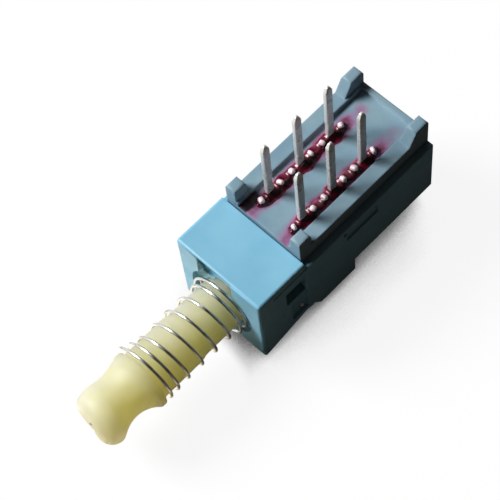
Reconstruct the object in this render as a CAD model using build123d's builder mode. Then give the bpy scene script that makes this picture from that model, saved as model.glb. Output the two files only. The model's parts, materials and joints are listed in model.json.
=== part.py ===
"""Latching push switch for circuit boards: six pins, two poles, return spring on the plunger.

Lengths are millimetres. +Z runs along the pins, -Y along the plunger towards the finger and
+X points to the side with the latch window. The origin is the middle of the flat of the back
rail, the face on which the loose switch lies.
"""
import os
from math import asin, atan2, cos, degrees, hypot

from build123d import *

os.makedirs("parts", exist_ok=True)

# Terminal grid
pin_pitch = 2.5
row_spacing = 2.5
pins_per_row = 3

# Housing, outside
row_to_side = 2.05  # from a pin row to the housing's side
front_length = 3.7  # solid-looking block that guides the plunger
first_pin_lead = 1.9  # from the front block to the first pin
last_pin_tail = 3.8  # from the last pin to the rear end
body_height = 7.5  # from the rail's flat to the front block's pin face
axis_height = 3.9  # plunger axis above the rail's flat
front_inset = 0.06  # how far the front block's sides lie inside the rear body's
front_bottom = 1.0
valley_height = 1.85  # bottom of the notch between front block and rear body
valley_length = 1.0
lobe_bottom = 1.15
lobe_length = 3.0
shoulder_height = 2.4  # underside of the wide rear body
wall_drop = 0.5  # from the front block's pin face down to the side walls' edge
rail_width = 4.1
rail_start = 5.3
rail_tail = 1.95
rail_tail_height = 0.45
edge_round = 0.2
side_chamfer = 0.05  # round the sides of the rear body

# Housing, inside
side_wall = 0.9
front_wall = 0.9
rear_wall = 1.0
roof_wall = 0.9
channel_width = 2.8  # narrow lower channel, inside the rail's width
channel_wall = 0.25  # left under the channel at the notch
ledge_wall = 0.7  # left under the wide part of the cavity

# Plunger and return spring
stem_radius = 1.5
stem_clearance = 0.08
seat_radius = 2.35
seat_depth = 0.35
travel = 3.0
slide_clearance = 0.1
stop_gap = 0.05
rear_gap = 0.25
blade_overlap = 0.7  # how deep the terminals' blades reach into the slider
shoulder_distance = 6.35  # from the front face to the shoulder that holds the spring
shoulder_length = 0.2
shoulder_radius = 1.95
bulb_radius = 1.82
tip_radius = 1.1
bulb_distance = 9.45
reach = 10.45  # from the front face to the plunger's end
flat_width = 3.3  # across the head's two flats
flat_start = 6.8
neck_distance = 8.15
neck_radius = 1.5
neck_hollow = 2.0  # radius of the hollow that makes the neck
neck_shift = 0.14  # how far the neck is off the axis, towards -X and +Z
notch_width = 0.4
notch_depth = 0.45
notch_drop = 0.4  # from the axis down to the notch in the end's lower edge
wire_radius = 0.14
wire_sides = 6
base_coil_radius = 1.95
open_coil_radius = 1.7
last_coil_radius = 2.1
base_half_turns = 4
open_half_turns = 8
outer_half_turns = 4
base_pitch = 0.45
outer_pitch = 0.6

# Terminal base: the moulded tray behind the front block
seam = 0.08
base_inset = 0.45  # from the housing's side to the tray's side
plug_depth = 0.6
plug_clearance = 0.04
plate_thickness = 0.8
rim_width = 0.9
rim_height = 0.3
rear_rim_width = 0.35
foot_height = 1.05
foot_width = 0.75
front_foot_length = 0.9
rear_foot_length = 1.0
rear_foot_ramp = 0.6
foot_round = 0.2

# Snap windows that hold the terminal base
snap_length = 2.6
snap_height = 0.25
pawl_length = 0.45
snap_clearance = 0.03
dish_height = 0.8
dish_depth = 0.12

# Terminals, one flat stamping each
stamping_thickness = 0.3
pin_width = 0.5
pin_height = 5.2  # above the plate
pin_taper = 0.5
pin_tip_width = 0.25
claw_width = 0.36
claw_offset = 0.78
claw_height = 0.35
claw_fold = 0.25
blade_width = 1.4
blade_reach = 1.5
yoke_height = 0.3

# Varnish bead over each row
seal_width = 0.95
seal_height = 0.18
seal_overrun = 1.1
seal_lobe_radius = 0.56
seal_clearance = 0.02

# Contact clips in the slider
clip_sheet = 0.12
clip_clearance = 0.03
clip_length = 3.3
clip_height = 1.3

# Latch: heart cam in the slider, bent wire and leaf spring in the housing
latch_wire_radius = 0.175
pivot_distance = 3.35
pivot_height = 2.6
tip_run = 5.0  # from the pivot to the wire's tip, along Y
tip_height = 4.3
tip_lift = 0.5
lock_travel = 2.2
cam_depth = 0.45
cam_clearance = 0.12
tip_gap = 0.06
latch_bend = 0.3
leaf_sheet = 0.1
leaf_width = 0.5
leaf_length = 3.2
pocket_skin = 0.4  # left outside the latch wire's pocket

# Small recesses on the window side
slit_width = 0.14
slit_start = 1.1
slit_drop = 0.6
window_start = 2.1
window_length = 1.5
window_drop = 1.45
window_height = 1.4
tab_start = 2.45
tab_drop = 3.1
tab_height = 2.2
tab_depth = 0.18

# Pocket under the pin face, at the front, open to the spring's seat
pocket_left = -1.65
pocket_width = 2.7
pocket_drop = 0.1
pocket_height = 2.1
pocket_depth = 0.5

# Derived sizes
body_width = row_spacing + 2 * row_to_side
half_width = body_width / 2
rows_length = (pins_per_row - 1) * pin_pitch
body_length = front_length + first_pin_lead + rows_length + last_pin_tail
rail_flat = body_length - rail_start - rail_tail
front_y = -(rail_start + rail_flat / 2)
block_rear_y = front_y + front_length
rear_y = front_y + body_length
lobe_y = block_rear_y + valley_length
lobe_rear_y = lobe_y + lobe_length
rail_y = front_y + rail_start
wall_top = body_height - wall_drop
cavity_half = half_width - side_wall
cavity_front_y = front_y + front_wall
cavity_rear_y = rear_y - rear_wall
cavity_floor = shoulder_height + ledge_wall
channel_floor = valley_height + channel_wall
slider_half = cavity_half - slide_clearance
slider_front_y = cavity_front_y + stop_gap
slider_rear_y = cavity_rear_y - travel - rear_gap
slider_shelf = cavity_floor + slide_clearance
slider_bottom = channel_floor + slide_clearance
first_pin_y = block_rear_y + first_pin_lead
pin_rows = {"left": -row_spacing / 2, "right": row_spacing / 2}
pin_places = dict(zip(("front", "middle", "rear"), range(pins_per_row)))
base_half = half_width - base_inset
base_front_y = block_rear_y + seam
plate_top = wall_top + plate_thickness
rim_top = plate_top + rim_height
plug_bottom = wall_top - plug_depth
snap_y = first_pin_y + rows_length / 2
blade_bottom = plug_bottom - blade_reach
slider_top = blade_bottom + blade_overlap
clip_gap = stamping_thickness + 2 * clip_clearance
clip_width = clip_gap + 2 * clip_sheet
clip_bottom = blade_bottom - clip_clearance - clip_sheet
clip_y = first_pin_y + pin_pitch / 2
pivot_y = front_y + pivot_distance
tip_y = pivot_y + tip_run
arm_length = hypot(tip_run, tip_height - pivot_height)
arm_angle = atan2(tip_height - pivot_height, tip_run)
arm_angle_in = asin((tip_height + tip_lift - pivot_height) / arm_length)
tip_setback = arm_length * (cos(arm_angle) - cos(arm_angle_in))
arm_x = cavity_half + stop_gap + latch_wire_radius
pocket_outer_x = half_width - pocket_skin
leg_height = plate_top - plug_bottom
upright = (Align.CENTER, Align.MIN)


def across(y):
    """Plane square to the plunger's axis at y, with X to the right, Z up and -Y outwards."""
    return Plane(origin=(0, y, 0), x_dir=(1, 0, 0), z_dir=(0, -1, 0))


def finish(part, name):
    """Name a finished piece and write it to its own file."""
    part.label = name
    export_step(part, f"parts/{name}.step")


# Housing: front block, wide rear body and back rail, hollowed for the slider
with BuildPart() as housing:
    with BuildSketch(Plane.YZ):
        with BuildLine():
            Polyline(
                (front_y, front_bottom),
                (front_y, body_height),
                (block_rear_y, body_height),
                (block_rear_y, valley_height),
                close=True,
            )
        make_face()
    extrude(amount=half_width - front_inset, both=True)
    long_edges = housing.edges().filter_by(Axis.Y).group_by(Axis.Z)[-1]
    fillet(housing.faces().sort_by(Axis.Y)[0].edges() + long_edges, radius=edge_round)

    with BuildSketch(Plane.YZ):
        with BuildLine():
            Polyline(
                (block_rear_y, wall_top),
                (block_rear_y, valley_height),
                (lobe_y - valley_length / 2, valley_height),
                (lobe_y, lobe_bottom),
                (lobe_rear_y, lobe_bottom),
                (lobe_rear_y, shoulder_height),
                (rear_y, shoulder_height),
                (rear_y, wall_top),
                close=True,
            )
        make_face()
    extrude(amount=half_width, both=True)
    raised_sides = housing.faces().filter_by(Axis.X).sort_by(Axis.X)
    chamfer(raised_sides[0].edges() + raised_sides[-1].edges(), length=side_chamfer)
    with BuildSketch(Plane.YZ):
        with BuildLine():
            Polyline(
                (rail_y, shoulder_height),
                (rail_y, 0),
                (rail_y + rail_flat, 0),
                (rail_y + rail_flat, rail_tail_height),
                (rear_y, rail_tail_height),
                (rear_y, shoulder_height),
                close=True,
            )
        make_face()
    extrude(amount=rail_width / 2, both=True)
    fillet(housing.faces().sort_by(Axis.Z)[0].edges().filter_by(Axis.Y), radius=edge_round)

    # Cavity: wide above, narrow channel below, open to the pins behind the front block
    with BuildSketch(across(cavity_front_y)):
        with BuildLine():
            Polyline(
                (-channel_width / 2, channel_floor),
                (channel_width / 2, channel_floor),
                (channel_width / 2, cavity_floor),
                (cavity_half, cavity_floor),
                (cavity_half, body_height - roof_wall),
                (-cavity_half, body_height - roof_wall),
                (-cavity_half, cavity_floor),
                (-channel_width / 2, cavity_floor),
                close=True,
            )
        make_face()
    extrude(amount=cavity_front_y - cavity_rear_y, mode=Mode.SUBTRACT)
    with BuildSketch(Plane.XY.offset(wall_top)):
        with Locations((0, (block_rear_y + cavity_rear_y) / 2)):
            Rectangle(2 * cavity_half, cavity_rear_y - block_rear_y)
    extrude(amount=-wall_drop - plug_depth, mode=Mode.SUBTRACT)

    # Plunger hole with the spring's round seat
    with Locations(Plane(origin=(0, front_y, axis_height), z_dir=(0, -1, 0))):
        CounterBoreHole(
            radius=stem_radius + stem_clearance,
            counter_bore_radius=seat_radius,
            counter_bore_depth=seat_depth,
            depth=front_wall,
        )
    with BuildSketch(across(front_y)):
        with Locations((pocket_left + pocket_width / 2, body_height - pocket_drop - pocket_height / 2)):
            Rectangle(pocket_width, pocket_height)
    extrude(amount=-pocket_depth, mode=Mode.SUBTRACT)

    # Recesses of the window side: slit, latch window and tab
    side_x = half_width - front_inset
    with BuildSketch(Plane.YZ.offset(side_x)):
        with Locations((front_y + (slit_start + front_length) / 2, body_height - slit_drop)):
            Rectangle(front_length - slit_start, slit_width)
        with Locations(
            (front_y + window_start + window_length / 2, body_height - window_drop - window_height / 2)
        ):
            Rectangle(window_length, window_height)
    extrude(amount=-side_wall, mode=Mode.SUBTRACT)
    with BuildSketch(Plane.YZ.offset(side_x)):
        with Locations((front_y + (tab_start + front_length) / 2, body_height - tab_drop - tab_height / 2)):
            Rectangle(front_length - tab_start, tab_height)
    extrude(amount=-tab_depth, mode=Mode.SUBTRACT)

    # Snap windows and the shallow dish under each
    for side in (-1, 1):
        with BuildSketch(Plane.YZ.offset(side * cavity_half)):
            with Locations((snap_y, plug_bottom + snap_height / 2)):
                Rectangle(snap_length, snap_height)
        extrude(amount=side * side_wall, mode=Mode.SUBTRACT)
        with BuildSketch(Plane.YZ.offset(side * half_width)):
            with Locations((snap_y + snap_height, plug_bottom - dish_height / 2)):
                Rectangle(snap_length, dish_height)
        extrude(amount=-side * dish_depth, mode=Mode.SUBTRACT)

    # Pocket in which the latch wire swings, and the hole of its pivot
    with BuildSketch(Plane.YZ.offset(cavity_half)):
        room = latch_wire_radius + cam_clearance
        with Locations((pivot_y, pivot_height)):
            Circle(room)
        with BuildLine():
            Polyline(
                (pivot_y - room, pivot_height),
                (tip_y - room, tip_height + tip_lift + room),
                (tip_y + room, tip_height + tip_lift + room),
                (tip_y + room, tip_height - room),
                (pivot_y + room, pivot_height - room),
                (pivot_y, pivot_height - room),
                close=True,
            )
        make_face()
    extrude(amount=pocket_outer_x - cavity_half, mode=Mode.SUBTRACT)
    with BuildSketch(Plane.YZ.offset(pocket_outer_x)):
        with Locations((pivot_y, pivot_height)):
            Circle(latch_wire_radius + slide_clearance / 2)
    extrude(amount=pocket_skin, mode=Mode.SUBTRACT)
finish(housing.part, "housing")

# Terminal base: tray with a rim, four feet, a plug into the housing and two snap pawls
with BuildPart() as terminal_base:
    with BuildSketch(Plane.XY.offset(wall_top)):
        with Locations((0, (base_front_y + rear_y) / 2)):
            Rectangle(2 * base_half, rear_y - base_front_y)
    extrude(amount=plate_thickness + rim_height)
    with BuildSketch(Plane.XY.offset(plate_top)):
        with Locations((0, (base_front_y + rear_y - rear_rim_width) / 2)):
            Rectangle(2 * (base_half - rim_width), rear_y - rear_rim_width - base_front_y)
    extrude(amount=rim_height, mode=Mode.SUBTRACT)
    plug_front_y = base_front_y
    plug_rear_y = cavity_rear_y - plug_clearance
    with BuildSketch(Plane.XY.offset(wall_top)):
        with Locations((0, (plug_front_y + plug_rear_y) / 2)):
            Rectangle(2 * (cavity_half - plug_clearance), plug_rear_y - plug_front_y)
    extrude(amount=-plug_depth)
    for side in (-1, 1):
        with BuildSketch(Plane.YZ.offset(side * base_half)):
            with BuildLine():
                Polyline(
                    (base_front_y, rim_top),
                    (base_front_y, rim_top + foot_height),
                    (base_front_y + front_foot_length, rim_top + foot_height),
                    (base_front_y + front_foot_length, rim_top),
                    close=True,
                )
            make_face()
            with BuildLine():
                Polyline(
                    (rear_y - rear_foot_length - rear_foot_ramp, rim_top),
                    (rear_y - rear_foot_length, rim_top + foot_height),
                    (rear_y, rim_top + foot_height),
                    (rear_y, rim_top),
                    close=True,
                )
            make_face()
        extrude(amount=-side * foot_width)
        with BuildSketch(Plane.YZ.offset(side * (cavity_half - plug_clearance))):
            with Locations((snap_y, plug_bottom + snap_height / 2)):
                Rectangle(snap_length - 2 * snap_clearance, snap_height - 2 * snap_clearance)
        extrude(amount=side * pawl_length)
    fillet(terminal_base.faces().sort_by(Axis.Z)[-4:].edges(), radius=foot_round)
    with BuildSketch(Plane.XY.offset(plate_top)):
        for x in pin_rows.values():
            for place in pin_places.values():
                y = first_pin_y + place * pin_pitch
                with Locations((x, y)):
                    Rectangle(stamping_thickness, pin_width)
                with Locations((x, y - claw_offset), (x, y + claw_offset)):
                    Rectangle(stamping_thickness, claw_width)
    extrude(amount=-plate_thickness - plug_depth, mode=Mode.SUBTRACT)
finish(terminal_base.part, "terminal_base")

# Six terminals: blade, yoke, pin and two claws folded over the plate
for row, x in pin_rows.items():
    for place, index in pin_places.items():
        y = first_pin_y + index * pin_pitch
        with BuildPart() as terminal:
            with BuildSketch(Plane.YZ.offset(x)):
                with Locations((y, plug_bottom - blade_reach / 2)):
                    Rectangle(blade_width, blade_reach)
                with Locations((y, plug_bottom - yoke_height / 2)):
                    Rectangle(2 * claw_offset + claw_width, yoke_height)
                with Locations((y, plug_bottom)):
                    Rectangle(pin_width, leg_height + pin_height - pin_taper, align=upright)
                with Locations((y - claw_offset, plug_bottom), (y + claw_offset, plug_bottom)):
                    Rectangle(claw_width, leg_height + claw_height, align=upright)
                with BuildLine():
                    Polyline(
                        (y - pin_width / 2, plate_top + pin_height - pin_taper),
                        (y - pin_tip_width / 2, plate_top + pin_height),
                        (y + pin_tip_width / 2, plate_top + pin_height),
                        (y + pin_width / 2, plate_top + pin_height - pin_taper),
                        close=True,
                    )
                make_face()
            extrude(amount=stamping_thickness / 2, both=True)
            with BuildSketch(Plane.YZ.offset(x)):
                with Locations((y - claw_offset, plate_top), (y + claw_offset, plate_top)):
                    Rectangle(claw_width, claw_height, align=upright)
            extrude(amount=stamping_thickness / 2 + claw_fold)
        finish(terminal.part, f"terminal_{row}_{place}")

# Varnish bead along each row, swollen round every terminal
for row, x in pin_rows.items():
    with BuildPart() as seal:
        with BuildSketch(Plane.XY.offset(plate_top)):
            with Locations((x, first_pin_y + rows_length / 2)):
                SlotOverall(rows_length + 2 * seal_overrun, seal_width, rotation=90)
            for index in pin_places.values():
                with Locations((x, first_pin_y + index * pin_pitch)):
                    Circle(seal_lobe_radius)
        extrude(amount=seal_height)
        with BuildSketch(Plane.XY.offset(plate_top)):
            slot_width = stamping_thickness + 2 * seal_clearance
            claw_x = x + claw_fold / 2
            for index in pin_places.values():
                y = first_pin_y + index * pin_pitch
                with Locations((x, y)):
                    Rectangle(slot_width, pin_width + 2 * seal_clearance)
                with Locations((claw_x, y - claw_offset), (claw_x, y + claw_offset)):
                    Rectangle(slot_width + claw_fold, claw_width + 2 * seal_clearance)
        extrude(amount=seal_height, mode=Mode.SUBTRACT)
    finish(seal.part, f"seal_{row}")

# Plunger: stem, shoulder and keyed head outside, slider with heart cam inside
with BuildPart() as plunger:
    with BuildSketch(Plane.YZ):
        with BuildLine():
            Polyline(
                (slider_front_y, axis_height),
                (slider_front_y, axis_height + stem_radius),
                (front_y - shoulder_distance, axis_height + stem_radius),
                (front_y - shoulder_distance, axis_height + shoulder_radius),
                (front_y - shoulder_distance - shoulder_length, axis_height + shoulder_radius),
                (front_y - bulb_distance, axis_height + bulb_radius),
            )
            TangentArc(
                (front_y - bulb_distance, axis_height + bulb_radius),
                (front_y - reach, axis_height + tip_radius),
                tangent=(-1, 0),
            )
            Polyline(
                (front_y - reach, axis_height + tip_radius),
                (front_y - reach, axis_height),
                (slider_front_y, axis_height),
            )
        make_face()
    revolve(axis=Axis((0, 0, axis_height), (0, 1, 0)))
    # Neck behind the bulb, deeper on its lower right; flats on both sides; notch in the end
    neck_axis = Axis((-neck_shift, 0, axis_height + neck_shift), (0, 1, 0))
    with BuildSketch(Plane.YZ.offset(-neck_shift)):
        with Locations((front_y - neck_distance, axis_height + neck_shift + neck_radius + neck_hollow)):
            Circle(neck_hollow)
    revolve(axis=neck_axis, mode=Mode.SUBTRACT)
    with BuildSketch(across(front_y - reach)):
        with Locations((-flat_width / 2, axis_height)):
            Rectangle(bulb_radius, 3 * bulb_radius, align=(Align.MAX, Align.CENTER))
        with Locations((flat_width / 2, axis_height)):
            Rectangle(bulb_radius, 3 * bulb_radius, align=(Align.MIN, Align.CENTER))
    extrude(amount=-(reach - flat_start), mode=Mode.SUBTRACT)
    with BuildSketch(across(front_y - reach)):
        with Locations((0, axis_height - notch_drop)):
            Rectangle(notch_width, bulb_radius, align=(Align.CENTER, Align.MAX))
    extrude(amount=-notch_depth, mode=Mode.SUBTRACT)
    # Slider: wide above, narrow below
    with BuildSketch(across(slider_front_y)):
        with BuildLine():
            Polyline(
                (-channel_width / 2 + slide_clearance, slider_bottom),
                (channel_width / 2 - slide_clearance, slider_bottom),
                (channel_width / 2 - slide_clearance, slider_shelf),
                (slider_half, slider_shelf),
                (slider_half, slider_top),
                (-slider_half, slider_top),
                (-slider_half, slider_shelf),
                (-channel_width / 2 + slide_clearance, slider_shelf),
                close=True,
            )
        make_face()
    extrude(amount=slider_front_y - slider_rear_y)
    # Pockets for the two contact clips
    with BuildSketch(Plane.XY.offset(clip_bottom)):
        with Locations(*[(x, clip_y) for x in pin_rows.values()]):
            Rectangle(clip_width, clip_length)
    extrude(amount=slider_top - clip_bottom, mode=Mode.SUBTRACT)
    # Slots in which the terminals' blades run over the whole travel
    slot_bottom = blade_bottom - slide_clearance
    with BuildSketch(across(slider_front_y)):
        with Locations(*[(x, slot_bottom) for x in pin_rows.values()]):
            Rectangle(stamping_thickness + 2 * slide_clearance, slider_top, align=upright)
    extrude(amount=slider_front_y - slider_rear_y, mode=Mode.SUBTRACT)
    # Heart cam: a loop of straight tracks for the wire's tip, lock notch in the middle
    with BuildSketch(Plane.YZ.offset(slider_half)):
        track_width = 2 * (latch_wire_radius + cam_clearance)
        full_y = tip_y - tip_setback - travel
        lock_y = tip_y - tip_setback - lock_travel
        rest = (tip_y, tip_height)
        over_out = (full_y, tip_height + tip_lift)
        lock = (lock_y, tip_height)
        over_back = (full_y, tip_height - tip_lift)
        track_ends = (rest, over_out, lock, over_back, rest)
        for start, end in zip(track_ends, track_ends[1:]):
            middle = ((start[0] + end[0]) / 2, (start[1] + end[1]) / 2)
            span = hypot(end[0] - start[0], end[1] - start[1])
            slope = degrees(atan2(end[1] - start[1], end[0] - start[0]))
            with Locations(Location(middle + (0,), (0, 0, slope))):
                SlotCenterToCenter(span, track_width)
    extrude(amount=-cam_depth, mode=Mode.SUBTRACT)
finish(plunger.part, "plunger")

# Return spring round the stem, from its seat in the front face to the shoulder
with BuildPart() as return_spring:
    spring_length = seat_depth + shoulder_distance - 2 * wire_radius
    closed_length = (base_half_turns * base_pitch + outer_half_turns * outer_pitch) / 2
    open_pitch = 2 * (spring_length - closed_length) / open_half_turns
    rises = (
        [base_pitch / 2] * base_half_turns
        + [open_pitch / 2] * open_half_turns
        + [outer_pitch / 2] * outer_half_turns
    )
    growth = (last_coil_radius - open_coil_radius) / outer_half_turns
    radii = (
        [base_coil_radius] * base_half_turns
        + [open_coil_radius] * (open_half_turns + 1)
        + [open_coil_radius + growth * (turn + 1) for turn in range(outer_half_turns)]
    )
    with BuildLine() as coil:
        side = -1
        y = front_y + seat_depth - wire_radius
        for rise, start_radius, end_radius in zip(rises, radii, radii[1:]):
            bow = hypot((start_radius + end_radius) / 2, rise / 2)
            ThreePointArc(
                (side * start_radius, y, axis_height),
                (side * (start_radius - end_radius) / 2, y - rise / 2, axis_height + side * bow),
                (-side * end_radius, y - rise, axis_height),
            )
            side = -side
            y -= rise
    path = coil.wire()
    with BuildSketch(Plane(origin=path @ 0, z_dir=path % 0)):
        RegularPolygon(wire_radius, wire_sides)
    sweep(path=path)
finish(return_spring.part, "return_spring")

# Latch wire: tip in the heart cam, arm along the slider, pivot in the housing's side
with BuildPart() as latch_wire:
    with BuildLine() as route:
        FilletPolyline(
            (slider_half - cam_depth + tip_gap, tip_y, tip_height),
            (arm_x, tip_y, tip_height),
            (arm_x, pivot_y, pivot_height),
            (half_width - front_inset - tip_gap, pivot_y, pivot_height),
            radius=latch_bend,
        )
    with BuildSketch(Plane(origin=route.line @ 0, z_dir=route.line % 0)):
        RegularPolygon(latch_wire_radius, wire_sides)
    sweep()
finish(latch_wire.part, "latch_wire")

# Leaf spring between the wire and the pocket's outer wall
with BuildPart() as latch_leaf_spring:
    with BuildSketch(Plane.YZ.offset(pocket_outer_x)):
        with Locations(
            Location(
                (pivot_y + tip_run / 2, (pivot_height + tip_height + tip_lift / 2) / 2, 0),
                (0, 0, degrees((arm_angle + arm_angle_in) / 2)),
            )
        ):
            Rectangle(leaf_length, leaf_width)
    extrude(amount=-leaf_sheet)
finish(latch_leaf_spring.part, "latch_leaf_spring")

# Contact clips: spring-sheet channels that straddle the blades
for row, x in pin_rows.items():
    with BuildPart() as contact_clip:
        with BuildSketch(across(clip_y - clip_length / 2)):
            with Locations((x, clip_bottom)):
                Rectangle(clip_width, clip_height, align=upright)
            with Locations((x, clip_bottom + clip_sheet)):
                Rectangle(clip_gap, clip_height, align=upright, mode=Mode.SUBTRACT)
        extrude(amount=-clip_length)
    finish(contact_clip.part, f"contact_clip_{row}")
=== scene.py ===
"""Looks of a small latching push switch that lies on its back rail with its pins up.

Every length below is in millimetres until `settle` scales the finished mesh to metres. The frame is
the switch's own: +Z along the pins, -Y along the plunger towards the finger, +X towards the side
with the latch window.
"""
import json
import logging
from dataclasses import dataclass, field
from enum import Enum

import bmesh
import bpy
import numpy as np
from mathutils import Matrix, Vector


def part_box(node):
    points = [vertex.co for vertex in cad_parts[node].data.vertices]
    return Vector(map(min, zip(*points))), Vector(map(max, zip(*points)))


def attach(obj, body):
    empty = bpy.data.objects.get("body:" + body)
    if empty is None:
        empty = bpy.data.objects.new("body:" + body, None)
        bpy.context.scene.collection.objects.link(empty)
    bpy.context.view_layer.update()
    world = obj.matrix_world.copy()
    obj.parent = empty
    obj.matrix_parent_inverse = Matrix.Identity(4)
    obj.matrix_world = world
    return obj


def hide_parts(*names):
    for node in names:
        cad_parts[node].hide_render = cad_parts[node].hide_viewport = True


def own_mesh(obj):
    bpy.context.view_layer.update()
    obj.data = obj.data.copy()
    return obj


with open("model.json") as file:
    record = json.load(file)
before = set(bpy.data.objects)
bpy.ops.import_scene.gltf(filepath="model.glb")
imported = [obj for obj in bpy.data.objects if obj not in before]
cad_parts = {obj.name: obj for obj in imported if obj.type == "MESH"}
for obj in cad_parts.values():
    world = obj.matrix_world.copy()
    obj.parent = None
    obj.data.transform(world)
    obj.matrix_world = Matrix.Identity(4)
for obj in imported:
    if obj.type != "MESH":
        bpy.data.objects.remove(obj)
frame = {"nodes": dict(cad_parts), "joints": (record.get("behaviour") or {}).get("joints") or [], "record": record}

LOG = logging.getLogger("push_switch")
MM = 0.001
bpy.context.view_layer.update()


class Body(Enum):
    """The bodies that pieces move with."""

    CASE = "case"
    PLUNGER = "plunger"
    LATCH = "latch"


class Slot(Enum):
    """The record's material slots."""

    HOUSING = "housing_plastic"
    BASE = "base_plastic"
    VARNISH = "varnish"
    NYLON = "plunger_nylon"
    SPRING = "spring_steel"
    LATCH = "latch_steel"
    CONTACT = "contact_metal"
    PIN = "pin_metal"


def linear(colour: tuple[float, float, float]) -> tuple[float, float, float, float]:
    """Turn display colour into the linear colour that shaders take.

    Args:
        colour: red, green and blue from 0 to 1, as a screen shows them.

    Returns:
        Linear red, green, blue and an alpha of 1.
    """
    value = np.asarray(colour, float)
    curved = np.where(value <= 0.04045, value / 12.92, ((value + 0.055) / 1.055) ** 2.4)
    return (*curved.tolist(), 1.0)


class Nodes:
    """A node tree, with the few node groups that the finishes, the sky and the floor share."""

    def __init__(self, tree: bpy.types.NodeTree) -> None:
        """Hold the tree."""
        self.tree = tree

    def node(self, kind: str, **settings: object) -> bpy.types.Node:
        """Add a node and set its properties.

        Args:
            kind: the node's type.
            **settings: values of its properties, by name.

        Returns:
            The new node.
        """
        made = self.tree.nodes.new(kind)
        for key, value in settings.items():
            setattr(made, key, value)
        return made

    def link(self, source: bpy.types.NodeSocket, target: bpy.types.NodeSocket) -> None:
        """Join an output to an input."""
        self.tree.links.new(source, target)

    def span(
        self, source: bpy.types.NodeSocket, low: float, high: float, to_low: float = 0.0,
        to_high: float = 1.0,
    ) -> bpy.types.NodeSocket:
        """Carry a value from one range to another, clamped and eased at both ends.

        Args:
            source: the value.
            low: where the first range starts; it may lie above `high`.
            high: where the first range ends.
            to_low: what `low` becomes.
            to_high: what `high` becomes.

        Returns:
            The value in the second range.
        """
        made = self.node("ShaderNodeMapRange", interpolation_type="SMOOTHSTEP")
        for key, value in zip(("From Min", "From Max", "To Min", "To Max"),
                              (low, high, to_low, to_high)):
            made.inputs[key].default_value = value
        self.link(source, made.inputs["Value"])
        return made.outputs["Result"]

    def maths(self, operation: str, *terms: object) -> bpy.types.NodeSocket:
        """Combine sockets and numbers with one Math node.

        Args:
            operation: the node's operation.
            *terms: a socket or a number for each of its inputs, in order.

        Returns:
            The result.
        """
        made = self.node("ShaderNodeMath", operation=operation)
        for index, term in enumerate(terms):
            if isinstance(term, (int, float)):
                made.inputs[index].default_value = term
            else:
                self.link(term, made.inputs[index])
        return made.outputs[0]


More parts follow.
